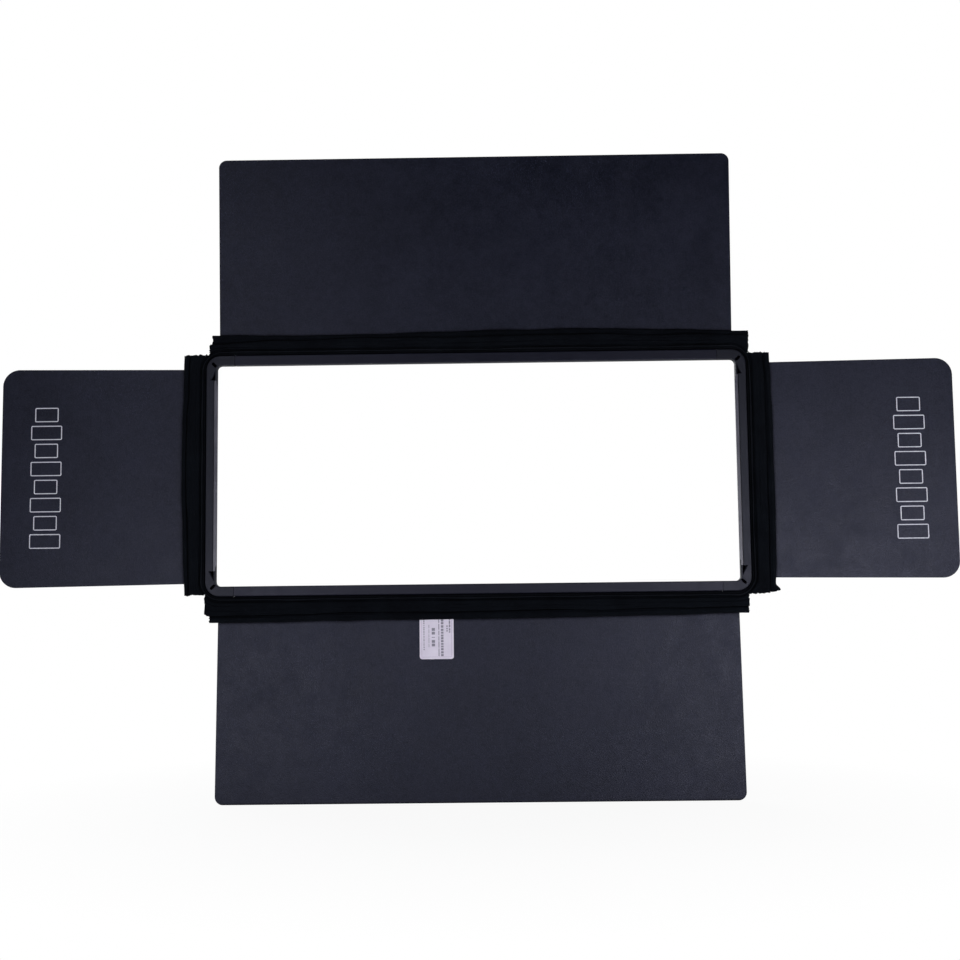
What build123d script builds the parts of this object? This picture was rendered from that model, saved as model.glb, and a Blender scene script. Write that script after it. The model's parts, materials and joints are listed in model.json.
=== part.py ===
from build123d import *
import os
from dataclasses import dataclass

# Barn door set for a rectangular panel light, with its four leaves laid flat.
# +X runs along the long side, +Z is up and +Y is the way the light shines.
# The origin is the middle of the light opening, on the frame's rear face.

# ------------------------------------------------------------------ driving dimensions, in mm

frame_width = 641.4
frame_height = 286.0
frame_depth = 10.0
arm_width = 11.5
end_arm_width = 12.2
frame_corner = 17.0
opening_corner = 5.5
rim_radius = 1.0
wall = 1.8
rail_half_length = 287.0
seam_gap = 0.5

flange_width = 5.0
flange_depth = 3.0
flange_thickness = 2.0
binding_gap = 0.6
binding_thickness = 2.2
binding_round = 0.8

key_length = 36.0
key_clearance = 0.1
key_round = 1.0
rail_screw_offset = 9.0

seat_width = 3.2
seat_depth = 3.0
seat_half_length = 113.5
strip_thickness = 1.2
strip_gap = 0.3
strip_lip = 1.0
strip_lip_half_length = 107.0
pocket_wall = 1.6
pocket_width = 5.0
pocket_length = 9.2
pocket_depth = 8.0
pocket_facet = 1.4
corner_slot_length = 7.6
corner_slot_width = 3.4
corner_slot_outboard = 2.9
corner_slot_level = 0.6
corner_slot_slant = 45.0

long_fabric_length = 636.0
short_fabric_length = 284.0
fabric_start = 5.3
fabric_end = 30.0
fabric_rear = 0.2
fabric_front = 4.0
fabric_round = 1.2

long_hinge_places = (-220.0, 0.0, 220.0)
short_hinge_places = (-80.0, 80.0)
pivot_outboard = 7.0
first_pivot_depth = 12.0
pivot_step = 1.5
hinge_plate_length = 28.0
hinge_plate_start = -10.5
hinge_plate_end = 8.0
hinge_plate_thickness = 1.5
hinge_notch_start = -1.0
ear_foot_start = 1.0
ear_inner = 8.0
ear_outer = 14.0
knuckle_radius = 3.2
knuckle_half_length = 7.3
pin_radius = 1.5
pin_bore_radius = 1.55
pin_head_radius = 2.7
pin_head_thickness = 1.8
pin_end = 18.0
nut_across_flats = 5.5
nut_thickness = 2.4
end_play = 0.05
washer_inner = 7.4
washer_thickness = 0.5
washer_radius = 3.0

long_leaf_reach = 235.0
long_leaf_inner_width = 612.6
long_leaf_outer_width = 618.2
long_leaf_corner = 9.5
short_leaf_reach = 239.0
short_leaf_inner_width = 255.8
short_leaf_outer_width = 261.4
short_leaf_corner = 20.0
leaf_rear = 8.25
leaf_thickness = 1.5
leaf_start = 13.0
leaf_inner_round = 3.0
leaf_edge_round = 0.4
leaf_plate_start = 14.0
leaf_plate_end = 26.0
leaf_plate_half_length = 16.0
web_start = 12.0
plate_corner = 2.0

screw_radius = 1.5
screw_hole_radius = 1.55
screw_head_radius = 2.75
screw_sink_radius = 2.85
screw_socket_radius = 1.1
screw_socket_depth = 0.9
sink_angle = 90.0
rail_screw_length = 7.0
bracket_screw_length = 7.5
bracket_screw_offset = 9.0

rivet_outboard = 20.0
rivet_offset = 11.0
rivet_radius = 1.6
rivet_hole_radius = 1.65
rivet_head_radius = 2.9
rivet_head_height = 0.9
rivet_head_taper = 30.0

sticker_width = 40.0
sticker_height = 52.0
sticker_corner = 3.0
sticker_thickness = 0.2
sticker_along = -49.0
sticker_outboard = 50.0

# ------------------------------------------------------------------ derived sizes

opening_width = frame_width - 2 * end_arm_width
opening_height = frame_height - 2 * arm_width
arm_middle = frame_height / 2 - arm_width / 2
leaf_front = leaf_rear + leaf_thickness
hinge_plate_front = frame_depth + hinge_plate_thickness
leaf_plate_front = leaf_front + hinge_plate_thickness
washer_places = (-washer_inner - washer_thickness, washer_inner)
ear_places = (-ear_outer, ear_inner)

os.makedirs("parts", exist_ok=True)


@dataclass(frozen=True)
class Side:
    """One of the four sides of the frame, with the hinges and the leaf that hang on it."""

    name: str
    middle: tuple
    along: tuple
    pivot_depth: float
    hinge_places: tuple
    leaf_reach: float
    leaf_inner_width: float
    leaf_outer_width: float
    leaf_corner: float
    fabric_length: float


def long_side(name, level, pivot_depth):
    """A top or bottom side: three hinges and a wide leaf."""
    return Side(
        name=name,
        middle=(0, 0, level * frame_height / 2),
        along=(-level, 0, 0),
        pivot_depth=pivot_depth,
        hinge_places=long_hinge_places,
        leaf_reach=long_leaf_reach,
        leaf_inner_width=long_leaf_inner_width,
        leaf_outer_width=long_leaf_outer_width,
        leaf_corner=long_leaf_corner,
        fabric_length=long_fabric_length,
    )


def short_side(name, hand, pivot_depth):
    """A left or right side: two hinges and a narrow leaf."""
    return Side(
        name=name,
        middle=(hand * frame_width / 2, 0, 0),
        along=(0, 0, hand),
        pivot_depth=pivot_depth,
        hinge_places=short_hinge_places,
        leaf_reach=short_leaf_reach,
        leaf_inner_width=short_leaf_inner_width,
        leaf_outer_width=short_leaf_outer_width,
        leaf_corner=short_leaf_corner,
        fabric_length=short_fabric_length,
    )


# The side leaves fold first, then the bottom leaf, then the top leaf, so each pair of leaves
# pivots one step further out and the folded leaves stack without touching.
left = short_side("left", -1, first_pivot_depth)
right = short_side("right", 1, first_pivot_depth)
bottom = long_side("bottom", -1, first_pivot_depth + pivot_step)
top = long_side("top", 1, first_pivot_depth + 2 * pivot_step)
sides = (top, bottom, left, right)


def face_plane(side, depth):
    """Plane parallel to the rear face: x runs along the side and y outboard from the frame's edge."""
    return Plane(origin=side.middle, x_dir=side.along, z_dir=(0, 1, 0)).offset(depth)


def profile_plane(side, place):
    """Plane across the side at a place along it: x runs outboard and y towards the beam."""
    outboard = face_plane(side, 0).y_dir
    return Plane(origin=side.middle, x_dir=outboard, z_dir=side.along).offset(place)


def rear_plane(depth):
    """Plane parallel to the rear face at a depth: x is +X and y is +Z, and its normal is -Y."""
    return Plane.XZ.offset(-depth)


def sunk_hole(depth):
    """Countersunk hole for one of the small screws, at each place that is current."""
    CounterSinkHole(screw_hole_radius, screw_sink_radius, depth=depth, counter_sink_angle=sink_angle)


def write(part, name):
    """Label a finished piece and write it as its own STEP file."""
    part.label = name
    export_step(part, f"parts/{name}.step")


# ------------------------------------------------------------------ frame


def make_rail(side):
    """Hollow rail with a flange along its outer edge, and screw holes in its front wall."""
    body_middle = (-arm_width / 2, frame_depth / 2)
    with BuildPart() as rail:
        with BuildSketch(profile_plane(side, seam_gap - rail_half_length)) as section:
            with Locations(body_middle):
                Rectangle(arm_width, frame_depth)
            fillet(section.vertices().group_by(Axis.Y)[0], radius=rim_radius)
            with Locations((0, flange_depth)):
                Rectangle(flange_width, flange_thickness, align=(Align.MIN, Align.MIN))
            with Locations(body_middle):
                Rectangle(arm_width - 2 * wall, frame_depth - 2 * wall, mode=Mode.SUBTRACT)
        extrude(amount=2 * (rail_half_length - seam_gap))
        with Locations(face_plane(side, frame_depth)):
            ends = [(hand * (rail_half_length - rail_screw_offset), -arm_width / 2) for hand in (-1, 1)]
            with Locations(*ends):
                sunk_hole(wall)
            with Locations(*bracket_screw_points(side)):
                Hole(screw_hole_radius, depth=wall)
    return rail.part


def bracket_screw_points(side):
    """Places of the hinge bracket screws, on the plane of a side."""
    return [
        (place + offset, -arm_width / 2)
        for place in side.hinge_places
        for offset in (-bracket_screw_offset, bracket_screw_offset)
    ]


def make_end_frame(side, hand):
    """C-shaped casting: one side arm, two corners and the stubs that take the rails."""
    with BuildPart() as end_frame:
        with BuildSketch(rear_plane(0)):
            RectangleRounded(frame_width, frame_height, frame_corner)
            RectangleRounded(opening_width, opening_height, opening_corner, mode=Mode.SUBTRACT)
        extrude(amount=-frame_depth)
        fillet(end_frame.faces().sort_by(Axis.Y)[0].edges(), radius=rim_radius)
        with BuildSketch(rear_plane(flange_depth)):
            RectangleRounded(
                frame_width + 2 * flange_width, frame_height + 2 * flange_width, frame_corner + flange_width
            )
            RectangleRounded(frame_width, frame_height, frame_corner, mode=Mode.SUBTRACT)
        extrude(amount=-flange_thickness)
        split(
            bisect_by=Plane.YZ.offset(hand * rail_half_length),
            keep=Keep.TOP if hand > 0 else Keep.BOTTOM,
        )
        # Seat for the retaining strip, along the inner edge of the arm.
        with BuildSketch(rear_plane(0)):
            with Locations((hand * (opening_width / 2 + seat_width / 2), 0)):
                Rectangle(seat_width, 2 * seat_half_length)
        extrude(amount=-seat_depth, mode=Mode.SUBTRACT)
        # Tapered pockets past both ends of the seat, with a facet along their slanted edge.
        with BuildSketch(rear_plane(0)):
            for level in (-1, 1):
                inner = hand * (opening_width / 2 + pocket_wall)
                Polygon(
                    (inner, level * seat_half_length),
                    (inner + hand * pocket_width, level * seat_half_length),
                    (inner, level * (seat_half_length + pocket_length)),
                    align=None,
                )
        extrude(amount=-pocket_depth, mode=Mode.SUBTRACT)
        straight = end_frame.edges().filter_by_position(Axis.Y, 0, 0).filter_by(GeomType.LINE)
        slanted = straight - straight.filter_by(Axis.X) - straight.filter_by(Axis.Z)
        chamfer(slanted, length=pocket_facet)
        # A slanted slot in each corner.
        with BuildSketch(rear_plane(0)):
            for level in (-1, 1):
                slot_along = hand * (opening_width / 2 + corner_slot_outboard)
                slot_level = level * (opening_height / 2 + corner_slot_level)
                slant = corner_slot_slant * hand * level
                with Locations((slot_along, slot_level)):
                    SlotOverall(corner_slot_length, corner_slot_width, rotation=slant)
        extrude(amount=-pocket_depth, mode=Mode.SUBTRACT)
        # Sockets for the corner keys.
        with BuildSketch(Plane.YZ.offset(hand * rail_half_length)):
            with Locations((frame_depth / 2, -arm_middle), (frame_depth / 2, arm_middle)):
                Rectangle(frame_depth - 2 * wall, arm_width - 2 * wall)
        extrude(amount=hand * (key_length / 2 + key_clearance), mode=Mode.SUBTRACT)
        with Locations(Plane(origin=(0, frame_depth, 0), x_dir=(-1, 0, 0), z_dir=(0, 1, 0))):
            screw_along = -hand * (rail_half_length + rail_screw_offset)
            with Locations((screw_along, -arm_middle), (screw_along, arm_middle)):
                sunk_hole(wall)
        with Locations(face_plane(side, frame_depth)):
            with Locations(*bracket_screw_points(side)):
                Hole(screw_hole_radius, depth=bracket_screw_length)
    return end_frame.part


def make_corner_keys():
    """Solid keys, half in a rail and half in an end frame, with holes for the rail screws."""
    joints = [(hand * rail_half_length, level * arm_middle) for hand in (-1, 1) for level in (-1, 1)]
    offsets = (-rail_screw_offset, rail_screw_offset)
    holes = [(along + offset, level) for along, level in joints for offset in offsets]
    with BuildPart() as corner_keys:
        with BuildSketch(rear_plane(wall + key_clearance)):
            with Locations(*joints):
                Rectangle(key_length, arm_width - 2 * wall - 2 * key_clearance)
            with Locations(*holes):
                Circle(screw_hole_radius, mode=Mode.SUBTRACT)
        extrude(amount=-(frame_depth - 2 * wall - 2 * key_clearance))
        fillet(corner_keys.edges().filter_by(Axis.X), radius=key_round)
    return corner_keys.part


def make_screws(planes, length):
    """Countersunk socket screws, each with its head flush in the plane it is given."""
    sink = screw_head_radius - screw_radius
    with BuildPart() as screws:
        for plane in planes:
            with BuildSketch(plane):
                Circle(screw_head_radius)
            with BuildSketch(plane.offset(-sink)):
                Circle(screw_radius)
            loft()
            with BuildSketch(plane.offset(-sink)):
                Circle(screw_radius)
            extrude(amount=sink - length)
            with BuildSketch(plane):
                RegularPolygon(radius=screw_socket_radius, side_count=6)
            extrude(amount=-screw_socket_depth, mode=Mode.SUBTRACT)
    return screws.part


def rail_screw_planes():
    """Planes of the rail screws, on the frame's front face."""
    front = Plane(origin=(0, frame_depth, 0), x_dir=(-1, 0, 0), z_dir=(0, 1, 0))
    return [
        front.shift_origin((hand * rail_half_length + offset, frame_depth, level * arm_middle))
        for hand in (-1, 1)
        for level in (-1, 1)
        for offset in (-rail_screw_offset, rail_screw_offset)
    ]


def make_retaining_strip(hand):
    """Thin strip on the floor of its seat, with a lip that stands into the opening."""
    outer = opening_width / 2 + seat_width - strip_gap
    inner = opening_width / 2 + strip_gap
    lip = opening_width / 2 - strip_lip
    end = seat_half_length - strip_gap
    with BuildPart() as strip:
        with BuildSketch(rear_plane(seat_depth - strip_thickness)):
            with Locations((hand * (outer + inner) / 2, 0)):
                Rectangle(outer - inner, 2 * end)
            with Locations((hand * (outer + lip) / 2, 0)):
                Rectangle(outer - lip, 2 * strip_lip_half_length)
        extrude(amount=-strip_thickness)
    return strip.part


def make_fabric_binding():
    """Binding tape round the frame, on the rear face of the flange."""
    tape_depth = flange_depth - binding_thickness
    grow = 2 * flange_width
    inset = 2 * binding_gap
    with BuildPart() as binding:
        with BuildSketch(rear_plane(tape_depth)):
            RectangleRounded(frame_width + grow, frame_height + grow, frame_corner + flange_width)
            RectangleRounded(
                frame_width + inset, frame_height + inset, frame_corner + binding_gap, mode=Mode.SUBTRACT
            )
        extrude(amount=-binding_thickness)
        fillet(binding.faces().sort_by(Axis.Y)[0].edges(), radius=binding_round)
    return binding.part


def make_fabric(side):
    """Fabric strip that closes the gap at a hinge, as one simple padded solid."""
    with BuildPart() as fabric:
        with BuildSketch(profile_plane(side, -side.fabric_length / 2)) as section:
            with Locations((fabric_start, fabric_rear)):
                Rectangle(fabric_end - fabric_start, fabric_front - fabric_rear, align=(Align.MIN, Align.MIN))
            fillet(section.vertices(), radius=fabric_round)
        extrude(amount=side.fabric_length)
    return fabric.part


# ------------------------------------------------------------------ hinges


def make_frame_hinges(side):
    """Fixed halves of the hinges: a plate on the frame's front face with two ears for the pin."""
    plate_width = hinge_plate_end - hinge_plate_start
    with BuildPart() as hinges:
        with BuildSketch(face_plane(side, frame_depth)) as outline:
            with Locations(*[(place, hinge_plate_start) for place in side.hinge_places]):
                Rectangle(hinge_plate_length, plate_width, align=(Align.CENTER, Align.MIN))
            fillet(outline.vertices().group_by(Axis.Y)[0], radius=plate_corner)
            with Locations(*[(place, hinge_notch_start) for place in side.hinge_places]):
                Rectangle(
                    2 * ear_inner,
                    hinge_plate_end - hinge_notch_start,
                    align=(Align.CENTER, Align.MIN),
                    mode=Mode.SUBTRACT,
                )
        extrude(amount=hinge_plate_thickness)
        for place in side.hinge_places:
            for start in ear_places:
                with BuildSketch(profile_plane(side, place + start)):
                    with Locations((pivot_outboard, side.pivot_depth)):
                        Circle(knuckle_radius)
                    with Locations((ear_foot_start, frame_depth)):
                        Rectangle(
                            hinge_plate_end - ear_foot_start,
                            hinge_plate_thickness,
                            align=(Align.MIN, Align.MIN),
                        )
                    make_hull()
                extrude(amount=ear_outer - ear_inner)
            with BuildSketch(profile_plane(side, place - ear_outer)):
                with Locations((pivot_outboard, side.pivot_depth)):
                    Circle(pin_bore_radius)
            extrude(amount=2 * ear_outer, mode=Mode.SUBTRACT)
        with Locations(face_plane(side, hinge_plate_front)):
            with Locations(*bracket_screw_points(side)):
                sunk_hole(hinge_plate_thickness)
    return hinges.part


def make_hinge_pins(side):
    """Headed hinge screws, one through the ears and the knuckle of each hinge."""
    with BuildPart() as pins:
        for place in side.hinge_places:
            head = place - ear_outer - end_play
            with BuildSketch(profile_plane(side, head)):
                with Locations((pivot_outboard, side.pivot_depth)):
                    Circle(pin_radius)
            extrude(amount=ear_outer + end_play + pin_end)
            with BuildSketch(profile_plane(side, head)):
                with Locations((pivot_outboard, side.pivot_depth)):
                    Circle(pin_head_radius)
            extrude(amount=-pin_head_thickness)
            with BuildSketch(profile_plane(side, head - pin_head_thickness)):
                with Locations((pivot_outboard, side.pivot_depth)):
                    RegularPolygon(radius=screw_socket_radius, side_count=6)
            extrude(amount=screw_socket_depth, mode=Mode.SUBTRACT)
    return pins.part


def make_hinge_nuts(side):
    """Lock nuts on the free ends of the hinge screws."""
    with BuildPart() as nuts:
        for place in side.hinge_places:
            with BuildSketch(profile_plane(side, place + ear_outer + end_play)):
                with Locations((pivot_outboard, side.pivot_depth)):
                    RegularPolygon(radius=nut_across_flats / 2, side_count=6, major_radius=False)
                    Circle(pin_bore_radius, mode=Mode.SUBTRACT)
            extrude(amount=nut_thickness)
    return nuts.part


def make_friction_washers(side):
    """Friction washers between each knuckle and its ears."""
    with BuildPart() as washers:
        for place in side.hinge_places:
            for start in washer_places:
                with BuildSketch(profile_plane(side, place + start)):
                    with Locations((pivot_outboard, side.pivot_depth)):
                        Circle(washer_radius)
                        Circle(pin_bore_radius, mode=Mode.SUBTRACT)
                extrude(amount=washer_thickness)
    return washers.part


# ------------------------------------------------------------------ leaves


def rivet_points(side):
    """Places of the leaf rivets, on the plane of a side."""
    return [
        (place + offset, rivet_outboard)
        for place in side.hinge_places
        for offset in (-rivet_offset, rivet_offset)
    ]


def make_leaf(side):
    """Flat sheet leaf, slightly wider at its outer edge than at the hinge."""
    inner = side.leaf_inner_width / 2
    outer = side.leaf_outer_width / 2
    reach = pivot_outboard + side.leaf_reach
    with BuildPart() as leaf:
        with BuildSketch(face_plane(side, leaf_rear)) as outline:
            Polygon(
                (-inner, leaf_start),
                (inner, leaf_start),
                (outer, reach),
                (-outer, reach),
                align=None,
            )
            fillet(outline.vertices().group_by(Axis.Y)[-1], radius=side.leaf_corner)
            fillet(outline.vertices().group_by(Axis.Y)[0], radius=leaf_inner_round)
        extrude(amount=leaf_thickness)
        skins = leaf.faces().sort_by(Axis.Y)
        fillet(skins[0].edges() + skins[-1].edges(), radius=leaf_edge_round)
        with Locations(face_plane(side, leaf_front)):
            with Locations(*rivet_points(side)):
                Hole(rivet_hole_radius, depth=leaf_thickness)
    return leaf.part


def make_leaf_hinges(side):
    """Moving halves of the hinges: a riveted plate with a web that ends in the knuckle."""
    with BuildPart() as hinges:
        with BuildSketch(face_plane(side, leaf_front)) as outline:
            with Locations(*[(place, leaf_plate_start) for place in side.hinge_places]):
                Rectangle(
                    2 * leaf_plate_half_length,
                    leaf_plate_end - leaf_plate_start,
                    align=(Align.CENTER, Align.MIN),
                )
            fillet(outline.vertices(), radius=plate_corner)
            with Locations(*[(place, web_start) for place in side.hinge_places]):
                Rectangle(
                    2 * knuckle_half_length,
                    leaf_plate_end - web_start - plate_corner,
                    align=(Align.CENTER, Align.MIN),
                )
            with Locations(*rivet_points(side)):
                Circle(rivet_hole_radius, mode=Mode.SUBTRACT)
        extrude(amount=hinge_plate_thickness)
        for place in side.hinge_places:
            with BuildSketch(profile_plane(side, place - knuckle_half_length)):
                with Locations((pivot_outboard, side.pivot_depth)):
                    Circle(knuckle_radius)
                with Locations((web_start, leaf_front)):
                    Rectangle(leaf_start - web_start, hinge_plate_thickness, align=(Align.MIN, Align.MIN))
                make_hull()
            extrude(amount=2 * knuckle_half_length)
            with BuildSketch(profile_plane(side, place - knuckle_half_length)):
                with Locations((pivot_outboard, side.pivot_depth)):
                    Circle(pin_bore_radius)
            extrude(amount=2 * knuckle_half_length, mode=Mode.SUBTRACT)
    return hinges.part


def make_leaf_rivets(side):
    """Rivets that hold the moving hinge halves on the leaf, with a low head on each face."""
    with BuildPart() as rivets:
        with BuildSketch(face_plane(side, leaf_rear)):
            with Locations(*rivet_points(side)):
                Circle(rivet_radius)
        extrude(amount=leaf_plate_front - leaf_rear)
        with BuildSketch(face_plane(side, leaf_plate_front)):
            with Locations(*rivet_points(side)):
                Circle(rivet_head_radius)
        extrude(amount=rivet_head_height, taper=rivet_head_taper)
        with BuildSketch(face_plane(side, leaf_rear)):
            with Locations(*rivet_points(side)):
                Circle(rivet_head_radius)
        extrude(amount=-rivet_head_height, taper=rivet_head_taper)
    return rivets.part


def make_label_sticker(side):
    """Plain sticker on the rear face of a leaf."""
    with BuildPart() as sticker:
        with BuildSketch(face_plane(side, leaf_rear)):
            with Locations((sticker_along, sticker_outboard)):
                RectangleRounded(sticker_width, sticker_height, sticker_corner)
        extrude(amount=-sticker_thickness)
    return sticker.part


# ------------------------------------------------------------------ the set

write(make_rail(top), "top_rail")
write(make_rail(bottom), "bottom_rail")
write(make_end_frame(left, -1), "left_end_frame")
write(make_end_frame(right, 1), "right_end_frame")
write(make_corner_keys(), "corner_keys")
write(make_screws(rail_screw_planes(), rail_screw_length), "rail_screws")
write(make_retaining_strip(-1), "left_retaining_strip")
write(make_retaining_strip(1), "right_retaining_strip")
write(make_fabric_binding(), "fabric_binding")
write(make_label_sticker(bottom), "label_sticker")

for side in sides:
    bracket_face = face_plane(side, hinge_plate_front)
    screw_planes = [
        bracket_face.shift_origin(bracket_face.from_local_coords((along, outboard, 0)))
        for along, outboard in bracket_screw_points(side)
    ]
    write(make_fabric(side), f"{side.name}_fabric")
    write(make_frame_hinges(side), f"{side.name}_frame_hinges")
    write(make_hinge_pins(side), f"{side.name}_hinge_pins")
    write(make_hinge_nuts(side), f"{side.name}_hinge_nuts")
    write(make_friction_washers(side), f"{side.name}_friction_washers")
    write(make_screws(screw_planes, bracket_screw_length), f"{side.name}_bracket_screws")
    write(make_leaf(side), f"{side.name}_leaf")
    write(make_leaf_hinges(side), f"{side.name}_leaf_hinges")
    write(make_leaf_rivets(side), f"{side.name}_leaf_rivets")
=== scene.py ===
import json
import math
from dataclasses import dataclass

import bmesh
import bpy
import numpy as np
from mathutils import Matrix, Vector


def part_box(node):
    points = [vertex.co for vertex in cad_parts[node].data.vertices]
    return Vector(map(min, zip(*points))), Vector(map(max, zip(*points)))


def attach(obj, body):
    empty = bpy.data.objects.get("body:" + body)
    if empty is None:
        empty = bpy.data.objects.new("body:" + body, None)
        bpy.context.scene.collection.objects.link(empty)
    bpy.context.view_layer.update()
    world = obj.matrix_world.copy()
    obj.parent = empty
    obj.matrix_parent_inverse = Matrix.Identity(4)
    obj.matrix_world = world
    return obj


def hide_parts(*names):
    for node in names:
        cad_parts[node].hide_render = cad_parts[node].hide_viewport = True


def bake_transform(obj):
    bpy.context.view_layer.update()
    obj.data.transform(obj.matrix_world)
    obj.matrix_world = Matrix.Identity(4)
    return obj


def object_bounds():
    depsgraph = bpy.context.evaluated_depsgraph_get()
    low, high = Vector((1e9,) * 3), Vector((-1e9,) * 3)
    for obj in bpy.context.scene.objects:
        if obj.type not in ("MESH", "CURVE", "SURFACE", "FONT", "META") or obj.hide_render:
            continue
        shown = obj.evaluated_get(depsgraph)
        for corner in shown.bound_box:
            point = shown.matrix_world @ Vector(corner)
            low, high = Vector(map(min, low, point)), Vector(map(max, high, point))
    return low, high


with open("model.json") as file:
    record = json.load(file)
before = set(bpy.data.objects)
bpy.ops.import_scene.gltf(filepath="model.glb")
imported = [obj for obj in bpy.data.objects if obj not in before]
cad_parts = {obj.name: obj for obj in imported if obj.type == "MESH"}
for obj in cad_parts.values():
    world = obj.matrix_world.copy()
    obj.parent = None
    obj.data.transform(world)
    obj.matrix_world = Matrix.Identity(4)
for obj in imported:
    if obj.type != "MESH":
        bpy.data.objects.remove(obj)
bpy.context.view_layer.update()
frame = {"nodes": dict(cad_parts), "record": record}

MM = 0.001

# ------------------------------------------------------------------ node helpers

# Rays that look for walls round a point.
OPEN_SAMPLES = 8


class Nodes:
    """A small helper that builds one node tree: add nodes, link them and set their inputs."""

    def __init__(self, tree):
        self.tree = tree
        self.tree.nodes.clear()

    def add(self, kind, **inputs):
        """Add a node. Inputs are given by socket name, as a value or as another node's output."""
        node = self.tree.nodes.new(kind)
        for name, value in inputs.items():
            self.put(node.inputs[name.replace("_", " ")], value)
        return node

    def put(self, socket, value):
        """Set a socket to a value, or link another node's output to it. A colour comes without its alpha."""
        if isinstance(value, bpy.types.NodeSocket):
            self.tree.links.new(value, socket)
        elif socket.type == "RGBA":
            socket.default_value = (*value, 1.0)
        else:
            socket.default_value = value

    def math(self, operation, *values):
        """One arithmetic step."""
        node = self.tree.nodes.new("ShaderNodeMath")
        node.operation = operation
        for socket, value in zip(node.inputs, values):
            self.put(socket, value)
        return node.outputs[0]

    def total(self, *parts):
        """Sum of some values. Each part is a value and its weight."""
        terms = [self.math("MULTIPLY", value, weight) for value, weight in parts]
        result = terms[0]
        for term in terms[1:]:
            result = self.math("ADD", result, term)
        return result

    def noise(self, vector, scale, detail=2.0, roughness=0.5):
        """Grey noise. Its scale is in features per metre."""
        node = self.add("ShaderNodeTexNoise", Vector=vector, Scale=scale, Detail=detail, Roughness=roughness)
        return node.outputs["Fac"]

    def cells(self, vector, scale):
        """Distance to the nearest of many scattered centres. Its scale is in centres per metre."""
        node = self.add("ShaderNodeTexVoronoi", Vector=vector, Scale=scale)
        return node.outputs["Distance"]

    def lines(self, vector, scales, detail=2.0, roughness=0.5):
        """Noise with its own scale along each of X, Y and Z, which can draw it out into lines."""
        drawn = self.add("ShaderNodeMapping", Vector=vector, Scale=scales)
        return self.noise(drawn.outputs["Vector"], 1.0, detail, roughness)

    def ramp(self, value, low, high, out_low=0.0, out_high=1.0):
        """Map a value from one range to another, clamped."""
        node = self.tree.nodes.new("ShaderNodeMapRange")
        for socket, item in zip(node.inputs, (value, low, high, out_low, out_high)):
            self.put(socket, item)
        return node.outputs[0]

    def roughness(self, noise, middle, below, above):
        """A roughness that follows a noise, from so much below a middle value to so much above it."""
        return self.ramp(noise, 0.3, 0.7, middle - below, middle + above)

    def tint(self, factor, first, second):
        """Mix two colours."""
        node = self.tree.nodes.new("ShaderNodeMix")
        node.data_type = "RGBA"
        for name, value in (("Factor", factor), ("A", first), ("B", second)):
            self.put(node.inputs[name], value)
        return node.outputs["Result"]

    def shade(self, noise, dark, light, low=0.35, high=0.65):
        """A colour between dark and light that follows a noise, over the noise's useful range."""
        return self.tint(self.ramp(noise, low, high), dark, light)

    def open_share(self, reach, low, high, shut=0.0):
        """How open a point is to its surroundings: shut in tight gaps, 1 on open faces."""
        node = self.add("ShaderNodeAmbientOcclusion", Distance=reach)
        node.samples = OPEN_SAMPLES
        return self.ramp(node.outputs["AO"], low, high, shut, 1.0)

    def bump(self, height, distance):
        """Turn a height into a bump; distance is in metres."""
        return self.add("ShaderNodeBump", Height=height, Distance=distance).outputs["Normal"]


def new_material(name):
    """An empty material, the helper that fills its tree, and the place of a point."""
    material = bpy.data.materials.new(name)
    material.use_nodes = True
    nodes = Nodes(material.node_tree)
    place = nodes.add("ShaderNodeTexCoord").outputs["Object"]
    return material, nodes, place


def close_material(nodes, **inputs):
    """Finish a tree with a principled surface."""
    surface = nodes.add("ShaderNodeBsdfPrincipled", **inputs)
    nodes.add("ShaderNodeOutputMaterial", Surface=surface.outputs[0])


# ------------------------------------------------------------------ materials

# Depth of the finest bump on a metal, a plastic or a print.
FINE_BUMP = 0.02 * MM
# How far away a wall still casts painted shade onto the bottom of a gap, and the colour of that painted
# shade.
CREVICE = 5.0 * MM
CREVICE_PAINTED_SHADE = (0.0022, 0.0020, 0.0040)
# Strength and tint of the powder coat's reflections.
PAINT_GLOSS = 0.3
PAINT_TINT = (0.82, 0.84, 1.0)
# How far away a fold still casts painted shade into the crease beside it, and the colour of that painted
# shade.
FOLD_SHADE = 6.0 * MM
CREASE_PAINTED_SHADE = (0.0002, 0.0003, 0.0004)
# How far threads wander, and how deep a weave is.
THREAD_WANDER = 0.6 * MM
THREAD_DEPTH = 0.22 * MM
# Specks of lint: colour, how much they cover, and where they end and are full, as a share of their spacing.
LINT_COLOUR = (0.16, 0.16, 0.17)
LINT_SHARE = 0.1
LINT_OUTSIDE, LINT_INSIDE = 0.035, 0.02


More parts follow.
